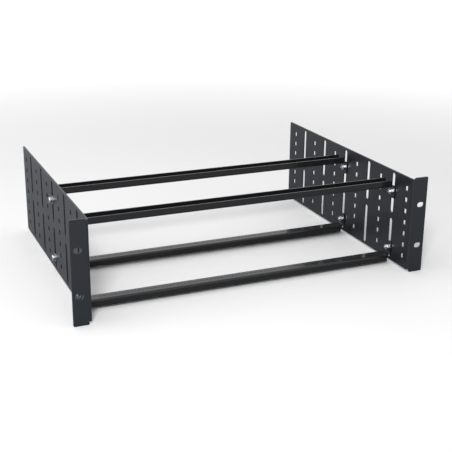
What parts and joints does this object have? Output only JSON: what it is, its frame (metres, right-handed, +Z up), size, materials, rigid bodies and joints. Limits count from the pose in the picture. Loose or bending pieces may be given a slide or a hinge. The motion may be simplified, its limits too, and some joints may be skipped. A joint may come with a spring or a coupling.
{
  "type": "subrack card cage",
  "caption": "Open 3U card cage for a 19 inch rack: perforated side plates with folded ears, joined by four folded channel rails that are bolted through long slots.",
  "frame": {"origin": "middle of the footprint, at the lower edge of the rack ears", "axes": "+X across the rack, +Y from the ears towards the rear, +Z up"},
  "size_m": [0.4826, 0.356, 0.1326],
  "materials": {
    "plate_paint": "semi-gloss black powder coat",
    "rail_paint": "semi-gloss black powder coat",
    "zinc": "bright zinc plate"
  },
  "bodies": {
    "root": {"left_side_plate": "plate_paint", "right_side_plate": "plate_paint", "front_top_rail": "rail_paint", "front_bottom_rail": "rail_paint", "rear_top_rail": "rail_paint", "rear_bottom_rail": "rail_paint", "front_top_bolts": "zinc", "front_bottom_bolts": "zinc", "rear_top_bolts": "zinc", "rear_bottom_bolts": "zinc", "front_top_washers": "zinc", "front_bottom_washers": "zinc", "rear_top_washers": "zinc", "rear_bottom_washers": "zinc", "front_top_lock_washers": "zinc", "front_bottom_lock_washers": "zinc", "rear_top_lock_washers": "zinc", "rear_bottom_lock_washers": "zinc", "front_top_nuts": "zinc", "front_bottom_nuts": "zinc", "rear_top_nuts": "zinc", "rear_bottom_nuts": "zinc"}
  },
  "joints": []
}
